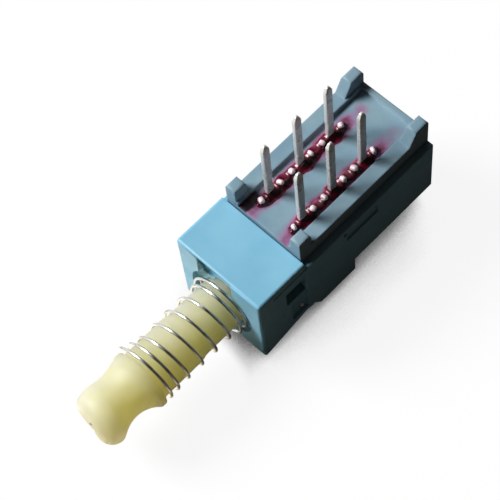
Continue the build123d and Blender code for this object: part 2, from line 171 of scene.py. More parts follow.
class Recipe(Nodes):
    """A material's node tree, with the node groups that all finishes share."""

    def __init__(self, name: str) -> None:
        """Start an empty material with a Principled shader, in millimetre coordinates.

        Args:
            name: the material's name.
        """
        self.material = bpy.data.materials.new(name)
        self.material.use_nodes = True
        super().__init__(self.material.node_tree)
        self.shader = self.tree.nodes["Principled BSDF"]
        coordinates = self.node("ShaderNodeTexCoord")
        scaled = self.node("ShaderNodeVectorMath", operation="SCALE")
        scaled.inputs["Scale"].default_value = 1 / MM
        self.link(coordinates.outputs["Object"], scaled.inputs[0])
        self.place = scaled.outputs[0]

    def fixed(self, **values: object) -> None:
        """Set the shader's own sockets, with spaces written as underscores."""
        for key, value in values.items():
            self.shader.inputs[key.replace("_", " ")].default_value = value

    def drives(self, socket: str, source: bpy.types.NodeSocket) -> None:
        """Let a value or colour drive one of the shader's sockets."""
        self.link(source, self.shader.inputs[socket])

    def noise(
        self, size: float, detail: float = 3.0, stretch: tuple[float, float, float] = (1, 1, 1)
    ) -> bpy.types.NodeSocket:
        """Cloudy noise.

        Args:
            size: width of one cloud, in millimetres.
            detail: octaves.
            stretch: how many times longer a cloud is along each axis.

        Returns:
            The noise's value, about 0.5.
        """
        mapping = self.node("ShaderNodeMapping")
        mapping.inputs["Scale"].default_value = [1 / (size * s) for s in stretch]
        texture = self.node("ShaderNodeTexNoise")
        texture.inputs["Scale"].default_value = 1.0
        texture.inputs["Detail"].default_value = detail
        self.link(self.place, mapping.inputs["Vector"])
        self.link(mapping.outputs[0], texture.inputs["Vector"])
        return texture.outputs["Fac"]

    def ragged(
        self, source: bpy.types.NodeSocket, size: float, depth: float, detail: float = 3.0
    ) -> bpy.types.NodeSocket:
        """Add noise to a value, so that what it bounds has an uneven edge.

        Args:
            source: the value.
            size: width of one of the noise's clouds, in millimetres.
            depth: how much the noise adds where it is 1.
            detail: the noise's octaves.

        Returns:
            The uneven value.
        """
        return self.maths("MULTIPLY_ADD", self.noise(size, detail), depth, source)

    def axis(self, name: str) -> bpy.types.NodeSocket:
        """One of the coordinates X, Y or Z, in millimetres.

        Args:
            name: the coordinate's letter.

        Returns:
            The coordinate.
        """
        made = self.node("ShaderNodeSeparateXYZ")
        self.link(self.place, made.inputs[0])
        return made.outputs[name]

    def attribute(self, name: str) -> bpy.types.NodeSocket:
        """A number stored on the mesh's points."""
        return self.node("ShaderNodeAttribute", attribute_name=name).outputs["Fac"]

    def blend(
        self, share: bpy.types.NodeSocket, first: object, second: object
    ) -> bpy.types.NodeSocket:
        """Mix two colours.

        Args:
            share: how much of the second colour there is, from 0 to 1.
            first: a socket, or a display colour.
            second: a socket, or a display colour.

        Returns:
            The mixed colour.
        """
        made = self.node("ShaderNodeMix", data_type="RGBA")
        self.link(share, made.inputs[0])
        for index, colour in ((6, first), (7, second)):
            if isinstance(colour, tuple):
                made.inputs[index].default_value = linear(colour)
            else:
                self.link(colour, made.inputs[index])
        return made.outputs[2]

    def bump(self, height: bpy.types.NodeSocket, depth: float, edge: float = 0.0) -> None:
        """Raise the surface's shading, and round the shading of its hard edges.

        Args:
            height: a height from 0 to 1.
            depth: how many millimetres deep that height is.
            edge: radius of the edges, in millimetres.
        """
        made = self.node("ShaderNodeBump")
        # depth: how many millimetres a height of 1 stands for.
        made.inputs["Distance"].default_value = depth * MM
        self.link(height, made.inputs["Height"])
        if edge > 0:
            rounding = self.node("ShaderNodeBevel", samples=6)
            rounding.inputs["Radius"].default_value = edge * MM
            self.link(rounding.outputs["Normal"], made.inputs["Normal"])
        self.link(made.outputs["Normal"], self.shader.inputs["Normal"])


@dataclass(frozen=True)
class MouldedPlastic:
    """Opaque satin moulding with faint flow clouds and a fine spark-eroded grain."""

    name: str
    colour: tuple[float, float, float]
    cloud: tuple[float, float, float]
    roughness: float = 0.42
    grain: float = 0.05
    grain_depth: float = 0.004
    edge: float = 0.09

    def material(self) -> bpy.types.Material:
        """Build the node material.

        Returns:
            The finished material.
        """
        made = Recipe(self.name)
        clouds = made.span(made.noise(2.4, 4.0), 0.3, 0.7)
        made.drives("Base Color", made.blend(clouds, self.colour, self.cloud))
        worn = made.span(made.noise(0.9, 5.0), 0.3, 0.75, self.roughness - 0.07,
                         self.roughness + 0.08)
        made.drives("Roughness", worn)
        made.bump(made.noise(self.grain, 2.0), self.grain_depth, self.edge)
        return made.material


@dataclass(frozen=True)
class StainedPlastic(MouldedPlastic):
    """The tray's plastic, with varnish that ran along each pin row and past both of its ends."""

    stain: tuple[float, float, float] = (0.63, 0.38, 0.56)
    wine: tuple[float, float, float] = (0.36, 0.08, 0.18)
    # near black: the varnish pool with the left foot's shade painted into it
    dark: tuple[float, float, float] = (0.08, 0.00, 0.05)
    row_x: float = 1.25
    row_middle: float = 0.0
    row_half: float = 2.5
    drift: float = 0.15  # how far the stain lies to the window side of its row
    floor_z: float = 7.8
    pool: tuple[float, float] = (-1.75, -4.0)

    def material(self) -> bpy.types.Material:
        """Build the node material: the plain plastic, a ragged stain round each row and a varnish pool
        beside the left foot, darkened nearly to black by painted shade of the foot.

        A stain's reach is the length of (1.3 across, 0.3 along), where `across` is the distance
        from the row's line and `along` the distance past its end. Both show on the plate only.

        Returns:
            The finished material.
        """
        made = Recipe(self.name)
        clouds = made.span(made.noise(2.0, 4.0), 0.3, 0.7)
        colour = made.blend(clouds, self.colour, self.cloud)
        level = made.maths("ABSOLUTE", made.maths("SUBTRACT", made.axis("Z"), self.floor_z))
        on_plate = made.span(level, 0.06, 0.02)

        shifted = made.maths("SUBTRACT", made.axis("X"), self.drift)
        across = made.maths("SUBTRACT", made.maths("ABSOLUTE", shifted), self.row_x)
        past = made.maths("ABSOLUTE", made.maths("SUBTRACT", made.axis("Y"), self.row_middle))
        along = made.maths("MAXIMUM", made.maths("SUBTRACT", past, self.row_half), 0.0)
        reach = self.distance(
            made, made.maths("MULTIPLY", across, 1.3), made.maths("MULTIPLY", along, 0.3)
        )
        reach = made.ragged(reach, 0.8, 1.0, 4.0)
        wet = made.maths("MULTIPLY", made.span(reach, 1.5, 0.95), on_plate)
        patchy = made.span(made.noise(0.4, 3.0), 0.2, 0.8, 0.7, 1.0)
        colour = made.blend(made.maths("MULTIPLY", wet, patchy), colour, self.stain)
        near = made.maths("MULTIPLY", made.span(reach, 1.2, 0.8), on_plate)
        colour = made.blend(made.maths("MULTIPLY", near, 0.8), colour, self.wine)

        # varnish pool beside the left foot, painted nearly black as the foot's shade
        spot = self.distance(
            made,
            made.maths("MULTIPLY", made.maths("SUBTRACT", made.axis("X"), self.pool[0]), 1.7),
            made.maths("SUBTRACT", made.axis("Y"), self.pool[1]),
        )
        spot = made.span(made.ragged(spot, 0.6, 0.5), 1.4, 1.05)
        pool_and_shade = made.maths("MULTIPLY", spot, on_plate)
        made.drives("Base Color", made.blend(pool_and_shade, colour, self.dark))
        made.drives("Roughness", made.span(wet, 0.0, 1.0, self.roughness, 0.3))
        made.fixed(Specular_IOR_Level=0.28)
        made.bump(made.noise(self.grain, 2.0), self.grain_depth, self.edge)
        return made.material

    @staticmethod
    def distance(
        made: Recipe, first: bpy.types.NodeSocket, second: bpy.types.NodeSocket
    ) -> bpy.types.NodeSocket:
        """Length of the vector with two given components."""
        squares = [made.maths("MULTIPLY", side, side) for side in (first, second)]
        return made.maths("SQRT", made.maths("ADD", *squares))


@dataclass(frozen=True)
class SealingVarnish:
    """Glossy wine-red varnish, pink where the film is thin and almost black under painted shade."""

    name: str = "sealing_varnish"
    thin: tuple[float, float, float] = (0.68, 0.36, 0.50)
    wine: tuple[float, float, float] = (0.38, 0.05, 0.15)
    # colour of the painted shade on the bead's window side
    shade_black: tuple[float, float, float] = (0.15, 0.00, 0.04)

    def material(self) -> bpy.types.Material:
        """Build the node material. The points' attribute `film` holds the film's thickness
        and painted shade.

        Returns:
            The finished material.
        """
        made = Recipe(self.name)
        film = made.ragged(made.attribute("film"), 0.45, 0.3)
        colour = made.blend(made.span(film, 0.2, 0.48), self.thin, self.wine)
        colour = made.blend(made.span(film, 0.55, 0.88), colour, self.shade_black)
        made.drives("Base Color", colour)
        made.drives("Roughness", made.span(made.noise(0.25, 2.0), 0.3, 0.7, 0.1, 0.24))
        made.fixed(Specular_IOR_Level=0.4)
        made.bump(made.noise(0.22, 2.0), 0.01)
        return made.material


@dataclass(frozen=True)
class NaturalNylon:
    """Uncoloured nylon: pale straw on its window side and slightly translucent; painted sheen greys its -X side.

    Flow clouds run along the plunger, painted warm shade lies low on the head, and painted dark
    shade sits in the end's notch.
    """

    name: str = "natural_nylon"
    # greyish colour of the painted sheen on the lamp's (-X) side
    painted_sheen: tuple[float, float, float] = (0.89, 0.875, 0.70)
    straw: tuple[float, float, float] = (0.91, 0.875, 0.62)
    # colour of the painted warm shade on the head's low side
    shade_amber: tuple[float, float, float] = (0.96, 0.76, 0.44)
    green: tuple[float, float, float] = (0.90, 0.90, 0.60)
    # colour of the painted shade inside the end's notch
    notch_shade: tuple[float, float, float] = (0.50, 0.22, 0.14)
    half_width: float = 1.5
    under_z: float = 2.0
    head_y: float = -18.0
    # middle of the painted shade in the end's notch
    notch_shade_at: tuple[float, float, float] = (0.0, -18.9, 2.3)

    def material(self) -> bpy.types.Material:
        """Build the node material.

        Returns:
            The finished material.
        """
        made = Recipe(self.name)
        # painted sheen: greyer towards -X, where the lamp is, and straw towards the window side
        side = made.maths("MULTIPLY_ADD", made.noise(1.6, 4.0, (1.0, 2.6, 1.0)), 1.6,
                          made.axis("X"))
        past_sheen = made.span(side, -0.4 * self.half_width, 1.4 * self.half_width)
        body = made.blend(past_sheen, self.painted_sheen, self.straw)
        body = made.blend(made.span(made.noise(1.2, 3.0), 0.5, 0.8, 0.0, 0.6), body, self.green)
        # painted warm shade: the head's low side, out of the lamp's light
        height = made.ragged(made.axis("Z"), 0.9, 1.2)
        low = made.span(height, self.under_z + 2.0, self.under_z)
        at_head = made.span(made.axis("Y"), self.head_y + 2.0, self.head_y)
        body = made.blend(made.maths("MULTIPLY", low, at_head), body, self.shade_amber)
        # painted shade in the end's notch: a dark brown spot round a point there
        away = made.node("ShaderNodeVectorMath", operation="DISTANCE")
        away.inputs[1].default_value = self.notch_shade_at
        made.link(made.place, away.inputs[0])
        notch_shaded = made.span(made.ragged(away.outputs["Value"], 0.25, 0.4), 0.68, 0.5)
        made.drives("Base Color", made.blend(notch_shaded, body, self.notch_shade))
        made.drives("Roughness", made.span(made.noise(0.6, 4.0), 0.3, 0.7, 0.42, 0.56))
        made.fixed(
            Subsurface_Weight=1.0, Subsurface_Scale=10.0 * MM, Subsurface_Radius=(1.0, 0.95, 0.7),
            Transmission_Weight=0.12, IOR=1.53, Specular_IOR_Level=0.35,
        )
        made.bump(made.noise(0.08, 2.0), 0.004)
        return made.material


@dataclass(frozen=True)
class BrightMetal:
    """Bare or plated metal with drawing or rolling marks along one axis.

    Where `wet` is given, a pink film of varnish climbs the metal from that height, `climb` high.
    """

    name: str
    colour: tuple[float, float, float]
    dull: tuple[float, float, float]
    roughness: float = 0.16
    marks: tuple[float, float, float] = (1.0, 1.0, 8.0)
    mark_size: float = 0.04
    mark_depth: float = 0.002
    edge: float = 0.05
    metallic: float = 1.0
    wet: float | None = None
    climb: float = 0.3
    film: tuple[float, float, float] = (0.84, 0.48, 0.60)

    def material(self) -> bpy.types.Material:
        """Build the node material.

        Returns:
            The finished material.
        """
        made = Recipe(self.name)
        tarnish = made.span(made.noise(0.5, 4.0), 0.45, 0.8)
        colour = made.blend(tarnish, self.colour, self.dull)
        if self.wet is not None:
            height = made.ragged(made.axis("Z"), 0.25, 0.5 * self.climb)
            share = made.span(height, self.wet + 1.25 * self.climb, self.wet + 0.3 * self.climb)
            colour = made.blend(share, colour, self.film)
        made.drives("Base Color", colour)
        worn = made.span(made.noise(1.2, 3.0), 0.3, 0.7, self.roughness - 0.02,
                         self.roughness + 0.02)
        made.drives("Roughness", worn)
        made.fixed(Metallic=self.metallic)
        made.bump(made.noise(self.mark_size, 2.0, self.marks), self.mark_depth, self.edge)
        return made.material


def grid_faces(
    rows: int, columns: int, loop_rows: bool = False, loop_columns: bool = True
) -> np.ndarray:
    """Quads that join a grid of points, numbered row by row.

    Args:
        rows: points along the first parameter.
        columns: points along the second parameter.
        loop_rows: whether the last row joins the first.
        loop_columns: whether the last column joins the first.

    Returns:
        An array of four point numbers a face.
    """
    i, j = np.meshgrid(
        np.arange(rows - (not loop_rows)), np.arange(columns - (not loop_columns)), indexing="ij"
    )
    after_i, after_j = (i + 1) % rows, (j + 1) % columns
    corners = (i * columns + j, i * columns + after_j, after_i * columns + after_j,
               after_i * columns + j)
    return np.stack(corners, -1).reshape(-1, 4)


@dataclass
class Shape:
    """Points and faces in millimetres, gathered before they become one mesh."""

    points: list[np.ndarray] = field(default_factory=list)
    faces: list[np.ndarray] = field(default_factory=list)
    films: list[np.ndarray] = field(default_factory=list)
    count: int = 0

    def add(
        self, grid: np.ndarray, loop_rows: bool = False, loop_columns: bool = True,
        film: np.ndarray | None = None,
    ) -> "Shape":
        """Add a grid of points and the quads that join them.

        Args:
            grid: the points, rows by columns by three.
            loop_rows: whether the last row joins the first.
            loop_columns: whether the last column joins the first.
            film: each point's film thickness, or nothing where there is no film.

        Returns:
            This shape, so that calls can follow each other.
        """
        rows, columns = grid.shape[:2]
        self.points.append(grid.reshape(-1, 3))
        self.faces.append(grid_faces(rows, columns, loop_rows, loop_columns) + self.count)
        self.films.append(np.zeros(rows * columns) if film is None else film.ravel())
        self.count += rows * columns
        return self

    def piece(
        self, name: str, material: bpy.types.Material, crease: float = 40.0, keep_film: bool = False
    ) -> bpy.types.Object:
        """Write the gathered surfaces as one object at the origin.

        Args:
            name: the piece's name.
            material: its finish.
            crease: edges sharper than this angle, in degrees, stay hard.
            keep_film: whether the points keep their film thickness as an attribute.

        Returns:
            The new object, with doubles merged and faces pointing outwards.
        """
        mesh = bpy.data.meshes.new(name)
        mesh.from_pydata(
            np.concatenate(self.points).tolist(), [], np.concatenate(self.faces).tolist()
        )
        if keep_film:
            stored = mesh.attributes.new("film", "FLOAT", "POINT")
            stored.data.foreach_set("value", np.concatenate(self.films).astype(np.float32))
        work = bmesh.new()
        work.from_mesh(mesh)
        bmesh.ops.remove_doubles(work, verts=work.verts, dist=2e-4)
        bmesh.ops.dissolve_degenerate(work, edges=work.edges, dist=1e-5)
        bmesh.ops.recalc_face_normals(work, faces=work.faces)
        work.to_mesh(mesh)
        work.free()
        return settle(mesh, name, material, crease)


def settle(
    mesh: bpy.types.Mesh, name: str, material: bpy.types.Material, crease: float
) -> bpy.types.Object:
    """Scale a millimetre mesh to metres and make it an object at the origin.

    Args:
        mesh: the mesh, in millimetres.
        name: the object's name.
        material: its finish.
        crease: edges sharper than this angle, in degrees, stay hard.

    Returns:
        The new object.
    """
    mesh.transform(Matrix.Scale(MM, 4))
    mesh.materials.clear()
    mesh.materials.append(material)
    mesh.shade_smooth()
    mesh.set_sharp_from_angle(angle=np.radians(crease))
    made = bpy.data.objects.new(name, mesh)
    bpy.context.scene.collection.objects.link(made)
    return made


def merged_copy(
    node: str, name: str, material: bpy.types.Material,
    keep: tuple[tuple[float, float, float], tuple[float, float, float]] | None = None,
) -> bpy.types.Object:
    """Copy a CAD node as one merged mesh, smooth over its fillets and hard at its edges.

    Args:
        node: the CAD node.
        name: the new piece's name.
        material: its finish.
        keep: where given, a point and a direction: only what lies on that side of the plane
            through the point is kept, and the cut is closed.

    Returns:
        The new object.
    """
    work = bmesh.new()
    work.from_mesh(frame["nodes"][node].data)
    bmesh.ops.scale(work, vec=(1 / MM,) * 3, verts=work.verts)
    bmesh.ops.remove_doubles(work, verts=work.verts, dist=1e-4)
    if keep is not None:
        everything = work.verts[:] + work.edges[:] + work.faces[:]
        bmesh.ops.bisect_plane(
            work, geom=everything, plane_co=keep[0], plane_no=keep[1], clear_inner=True
        )
        bmesh.ops.holes_fill(work, edges=[e for e in work.edges if e.is_boundary])
    bmesh.ops.dissolve_limit(
        work, angle_limit=np.radians(0.5), verts=work.verts[:], edges=work.edges[:]
    )
    mesh = bpy.data.meshes.new(name)
    work.to_mesh(mesh)
    work.free()
    made = settle(mesh, name, material, 34.0)
    made.modifiers.new("flats", "WEIGHTED_NORMAL").keep_sharp = True
    return made


def sweep(path: np.ndarray, reference: np.ndarray, radius: float, sides: int) -> np.ndarray:
    """Carry a circle along a path, with both ends rounded off.

    The circle at each point lies across the path's direction t, in the plane of
    n = reference - (reference . t) t and b = t x n; a point of it is
    path + radius (cos a n + sin a b). Half circles of shrinking rings close the ends.

    Args:
        path: points of the centre line, n by 3.
        reference: a direction that is never along the path.
        radius: of the circle.
        sides: points round the circle.

    Returns:
        A grid of points, rings by sides by three.
    """
    along = np.gradient(path, axis=0)
    along /= np.linalg.norm(along, axis=1, keepdims=True)
    bend = np.radians([90.0, 60.0, 30.0])
    start = path[0] - np.sin(bend)[:, None] * radius * along[0]
    end = path[-1] + np.sin(bend[::-1])[:, None] * radius * along[-1]
    centres = np.concatenate([start, path, end])
    tangents = np.concatenate([np.repeat(along[:1], 3, 0), along, np.repeat(along[-1:], 3, 0)])
    radii = np.concatenate([np.cos(bend), np.ones(len(path)), np.cos(bend[::-1])]) * radius
    normal = reference - (tangents @ reference)[:, None] * tangents
    normal /= np.linalg.norm(normal, axis=1, keepdims=True)
    binormal = np.cross(tangents, normal)
    turn = np.linspace(0, 2 * np.pi, sides, endpoint=False)
    cosine, sine = np.cos(turn)[None, :, None], np.sin(turn)[None, :, None]
    ring = cosine * normal[:, None] + sine * binormal[:, None]
    return centres[:, None] + radii[:, None, None] * ring


def show(piece: bpy.types.Object, body: Body, slot: Slot, *nodes: str) -> bpy.types.Object:
    """Ride a piece on its body, hide the CAD nodes it stands for, and log it.

    Args:
        piece: the piece.
        body: the body that it moves with.
        slot: the record's material slot that its finish belongs to; not used.
        *nodes: the CAD nodes that it stands for.

    Returns:
        The same piece.
    """
    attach(piece, body.value)
    if nodes:
        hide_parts(*nodes)
    LOG.info("%s: %d faces, on %s", piece.name, len(piece.data.polygons), body.value)
    return piece


def corners(node: str) -> tuple[np.ndarray, np.ndarray]:
    """Lowest and highest corner of a CAD node, in millimetres."""
    low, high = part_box(node)
    return np.array(low) / MM, np.array(high) / MM


def plunger_axis() -> float:
    """Height of the plunger's axis, in millimetres, from the mount at the head's end."""
    head = next(m for m in frame["record"]["mounts"] if m["name"] == "plunger_head")
    return head["pos_m"][2] / MM


@dataclass
class Housing:
    """The moulded housing: front block, wide body and back rail."""

    finish: MouldedPlastic = MouldedPlastic(
        "housing_moulding", (0.52, 0.75, 0.85), (0.48, 0.72, 0.83)
    )

    def build(self) -> None:
        """Dress the housing's solid."""
        show(
            merged_copy("housing", "housing_shell", self.finish.material()),
            Body.CASE, Slot.HOUSING, "housing",
        )


@dataclass
class TerminalTray:
    """The tray with rim and feet behind the front block."""

    plate_depth: float = 5.2  # from the pins' tips down to the plate
    # the pool there is varnish, darkened with the left foot's painted shade
    pool_ahead: float = 0.4  # from the first claw to the middle of the pool at the left foot

    def build(self) -> None:
        """Dress the tray, stained along its rows."""
        tips = corners("terminal_left_front")[1]
        first, last = corners("terminal_left_front"), corners("terminal_left_rear")
        middle = (first[0][1] + last[1][1]) / 2
        finish = StainedPlastic(
            "tray_moulding", (0.52, 0.63, 0.68), (0.46, 0.58, 0.65), 0.45, edge=0.14,
            row_middle=float(middle), floor_z=float(tips[2] - self.plate_depth),
            pool=(-1.85, float(first[0][1] - self.pool_ahead)),
        )
        show(
            merged_copy("terminal_base", "terminal_tray", finish.material()),
            Body.CASE, Slot.BASE, "terminal_base",
        )


@dataclass
class Terminals:
    """Six flat stampings: pins with tapered, rounded tips and claws folded into nuggets."""

    thick: float = 0.15
    wide: float = 0.25
    tip_wide: float = 0.14
    taper: float = 0.42
    plate_depth: float = 5.2
    claw_offset: float = 0.78
    claw_lean: float = 0.12
    claw_half: tuple[float, float, float] = (0.23, 0.17, 0.26)
    claw_rise: float = 0.2
    sides: int = 48

    def pin(self, foot: np.ndarray) -> np.ndarray:
        """Work out a pin's surface.

        Each ring is the rounded rectangle |x / a|^8 + |y / b|^8 = 1. The half width b eases to
        the tip's over the taper, and the last rings shrink by cos u while they rise by sin u.

        Args:
            foot: the middle of the pin at the plate.

        Returns:
            A grid of points, rings by sides by three.
        """
        turn = np.linspace(0, 2 * np.pi, self.sides, endpoint=False)
        cosine, sine = np.cos(turn), np.sin(turn)
        round_off = (np.abs(cosine) ** 8 + np.abs(sine) ** 8) ** (-1 / 8)
        body = np.linspace(-0.15, self.plate_depth - self.taper, 12)
        slope = np.linspace(0, 1, 9)[1:]
        cap = np.linspace(0, np.pi / 2, 7)[1:]
        end = 0.1
        height = np.concatenate([
            [body[0]], body, body[-1] + slope * (self.taper - end),
            self.plate_depth - end + end * np.sin(cap),
        ])
        ease = slope**1.5
        half = np.concatenate([
            np.full(len(body) + 1, self.wide), self.wide + (self.tip_wide - self.wide) * ease,
            self.tip_wide * np.cos(cap),
        ])
        depth = np.concatenate([
            np.full(len(body) + 1, self.thick), self.thick * (1 - 0.35 * ease),
            0.65 * self.thick * np.cos(cap),
        ])
        half[0] = depth[0] = 0
        x = depth[:, None] * cosine * round_off
        y = half[:, None] * sine * round_off
        z = np.broadcast_to(height[:, None], x.shape)
        return np.stack([x, y, z], -1) + foot

    def claw(self, middle: np.ndarray, seed: float) -> np.ndarray:
        """Work out a claw's nugget, (|x/a|^3 + |y/b|^3 + |z/c|^3)^(1/3) = 1, turned and tilted.

        Its half sizes change by up to a sixth, and its turns by up to a third of a radian, with
        sines of the seed. Shallow dents 1 + 0.06 sin(5 turn + seed) cos(3 rise) make it uneven.

        Args:
            middle: the nugget's middle.
            seed: a number of its own, so that no two are alike.

        Returns:
            A grid of points, rings by sides by three.
        """
        rise = np.linspace(-np.pi / 2, np.pi / 2, 17)[:, None]
        turn = np.linspace(0, 2 * np.pi, 28, endpoint=False)[None]
        way = np.stack([np.cos(rise) * np.cos(turn), np.cos(rise) * np.sin(turn),
                        np.broadcast_to(np.sin(rise), (17, 28))], -1)
        half = np.array(self.claw_half) * (1 + np.array([
            0.16 * np.sin(3.7 * seed), 0.16 * np.sin(5.9 * seed + 1), 0.08 * np.sin(2.9 * seed + 2)
        ]))
        size = (np.abs(way / half) ** 3).sum(-1) ** (-1 / 3)
        size = size * (1 + 0.06 * np.sin(5 * turn + seed) * np.cos(3 * rise) * np.cos(rise))
        spin, tilt = 0.35 * np.sin(2.3 * seed), 0.3 * np.sin(4.1 * seed + 0.7)
        about_z = np.array([[np.cos(spin), np.sin(spin), 0], [-np.sin(spin), np.cos(spin), 0],
                            [0, 0, 1]])
        about_y = np.array([[np.cos(tilt), 0, -np.sin(tilt)], [0, 1, 0],
                            [np.sin(tilt), 0, np.cos(tilt)]])
        return way * size[..., None] @ about_y @ about_z + middle

    def build(self) -> None:
        """Make each terminal's pin and claws, and dress its blade inside the housing."""
        nodes = sorted(n for n in frame["nodes"] if n.startswith("terminal_") and "base" not in n)
        plate = corners(nodes[0])[1][2] - self.plate_depth
        metal = BrightMetal(
            "tinned_pin", (0.91, 0.91, 0.90), (0.86, 0.85, 0.83), 0.28, (1.0, 1.0, 9.0),
            mark_depth=0.0004, edge=0.0, metallic=0.3, wet=float(plate), climb=0.34,
        ).material()
        nugget = BrightMetal(
            "tinned_claw", (0.97, 0.90, 0.92), (0.93, 0.76, 0.81), 0.3, (1.0, 1.0, 1.0),
            mark_depth=0.0004, edge=0.0, metallic=0.18, wet=float(plate) + 0.12, climb=0.26,
        ).material()
        for number, node in enumerate(nodes):
            low, high = corners(node)
            foot = np.array([np.sign(low[0]) * 1.25, (low[1] + high[1]) / 2, plate])
            pin = Shape().add(self.pin(foot)).piece(node.replace("terminal", "pin"), metal, 60.0)
            show(pin, Body.CASE, Slot.PIN, node)
            claws = Shape()
            for side in (-1, 1):
                lean = np.array([self.claw_lean, side * self.claw_offset, self.claw_rise])
                claws.add(self.claw(foot + lean, 1.9 * number + 0.8 * side))
            show(claws.piece(node.replace("terminal", "claws"), nugget, 60.0),
                 Body.CASE, Slot.PIN, node)
            blade = merged_copy(node, node.replace("terminal", "blade"), metal,
                                ((0, 0, float(plate) - 0.1), (0, 0, -1)))
            show(blade, Body.CASE, Slot.PIN, node)


@dataclass
class VarnishBead:
    """A bead of varnish along one row, with a meniscus round each pin and claw."""

    side: str
    width: float = 0.45
    swelling: float = 0.10
    height: float = 0.17
    climb: float = 0.14
    end_reach: float = 1.14
    pitch: float = 2.5
    claw_offset: float = 0.78
    rows: int = 150
    columns: int = 34

    def grid(self) -> tuple[np.ndarray, np.ndarray]:
        """Work out the bead's surface.

        s runs along the row and t across it, from -1 to 1. The half width is
        w = sqrt(1 - u^6) (width + swelling sum exp(-((s - pin) / 0.5)^2) + waves), where u is s
        as a share of the half length, and the height is h = height (1 - t^2)^0.55 plus
        climb exp(-d / 0.07), where d is the distance from the nearest metal that stands in it.
        The film follows the bead's height, plus a band of painted shade along the row's window side,
        where the bead is no higher.

        Returns:
            The grid of points and each point's film value: thickness as a share, plus painted shade.
        """
        low, high = corners(f"seal_{self.side}")
        x_row = 1.25 if self.side == "right" else -1.25
        middle = (low[1] + high[1]) / 2
        plate = low[2]
        half = self.pitch + self.end_reach
        s = half * np.sin(np.linspace(-np.pi / 2, np.pi / 2, self.rows))[:, None]
        t = np.sin(np.linspace(-np.pi / 2, np.pi / 2, self.columns))[None]
        pins = np.array([-self.pitch, 0.0, self.pitch])
        phase = 0.0 if self.side == "left" else 2.1
        wander = 0.045 * np.sin(3.1 * s + phase) + 0.03 * np.sin(7.7 * s + 2 * phase)
        wide = self.width + self.swelling * np.exp(-(((s - pins[None]) / 0.5) ** 2)).sum(1)[:, None]
        wide = (wide + wander) * np.sqrt(np.clip(1 - (s / half) ** 6, 0, 1))
        skew = 0.15 + 0.05 * np.sin(2.3 * s + 1.3 + phase)
        x = t * wide + skew
        metal = [(0.0, p, 0.15, 0.25) for p in pins]
        offsets = (-self.claw_offset, self.claw_offset)
        metal += [(0.12, p + offset, 0.27, 0.18) for p in pins for offset in offsets]
        near = np.full(x.shape, 9.0)
        for centre_x, centre_s, half_x, half_s in metal:
            gap_x = np.maximum(np.abs(x - centre_x) - half_x, 0)
            gap_s = np.maximum(np.abs(s - centre_s) - half_s, 0)
            near = np.minimum(near, np.hypot(gap_x, gap_s))
        dome = np.clip(1 - t**2, 0, 1) ** 0.55
        uneven = 1 + 0.25 * np.sin(5.3 * s + phase) * np.cos(1.7 * s)
        top = self.height * uneven * dome + self.climb * np.exp(-near / 0.07) * dome
        # painted shade: a dark band along the row's window (+X) side, away from the lamp
        painted_shade_band = (0.8 + 0.2 * np.sin(4.1 * s + phase)) * np.exp(-(((x - 0.45) / 0.24) ** 2))
        film = 0.42 * np.clip(top / (self.height + 0.05), 0, 1) + 0.75 * painted_shade_band * dome**0.5
        lift = np.where(np.abs(t) > 0.999, -0.02, top)
        grid = np.stack([x + x_row, np.broadcast_to(s + middle, x.shape), plate + lift], -1)
        under = grid.copy()
        under[..., 2] = plate - 0.02
        return np.concatenate([grid, under[:, ::-1]], 1), np.concatenate([film, film * 0], 1)

    def build(self, varnish: bpy.types.Material) -> None:
        """Make the bead.

        Args:
            varnish: its finish, which both beads share.
        """
        grid, film = self.grid()
        piece = Shape().add(grid, film=film).piece(
            f"varnish_bead_{self.side}", varnish, crease=70.0, keep_film=True
        )
        show(piece, Body.CASE, Slot.VARNISH, f"seal_{self.side}")


@dataclass
class ReturnSpring:
    """The round-wire return spring with its end coils closed up."""

    wire: float = 0.1
    base_radius: float = 1.95
    open_radius: float = 1.765
    last_radius: float = 2.0
    last_shift: float = -0.18  # how far the last coil lies off the axis
    half_turns: tuple[int, int, int] = (4, 8, 4)
    pitches: tuple[float, float] = (0.45, 0.6)
    steps: int = 26
    sides: int = 14
    finish: BrightMetal = BrightMetal(
        "spring_wire", (0.86, 0.86, 0.84), (0.60, 0.58, 0.54), 0.17, (1.0, 6.0, 1.0), 0.03, 0.0004,
        edge=0.0,
    )

    def path(self) -> np.ndarray:
        """Centre line: (-R cos a, y, -R sin a) about the plunger's axis.

        a is the turn, y falls by half a pitch each half turn, and R goes from the base coils'
        radius to the open coils' and grows again towards the last, which lies a little off the
        axis.

        Returns:
            Points of the centre line, n by 3.
        """
        low, high = corners("return_spring")
        length = high[1] - low[1] - 2 * self.wire
        base, middle, outer = self.half_turns
        closed = (base * self.pitches[0] + outer * self.pitches[1]) / 2
        rises = np.array([self.pitches[0] / 2] * base + [(length - closed) / middle] * middle
                         + [self.pitches[1] / 2] * outer)
        knots = np.concatenate([[0.0], np.cumsum(rises)])
        growth = np.linspace(self.open_radius, self.last_radius, outer + 1)[1:]
        radii = np.array([self.base_radius] * base + [self.open_radius] * (middle + 1)
                         + growth.tolist())
        turns = np.linspace(0, len(rises), len(rises) * self.steps + 1)
        axis_z = plunger_axis()
        radius = np.interp(turns, np.arange(len(radii)), radii)
        y = high[1] - self.wire - np.interp(turns, np.arange(len(knots)), knots)
        turn = np.pi * turns
        last = np.clip((turns - turns[-1] + outer) / outer, 0, 1)
        x = self.last_shift * last**2 - radius * np.cos(turn)
        return np.stack([x, y, axis_z - radius * np.sin(turn)], -1)

    def build(self) -> None:
        """Make the spring, which rides on the case body."""
        tube = sweep(self.path(), np.array([0.0, 1.0, 0.0]), self.wire, self.sides)
        piece = Shape().add(tube).piece("return_coil", self.finish.material())
        show(piece, Body.CASE, Slot.SPRING, "return_spring")
        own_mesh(piece)


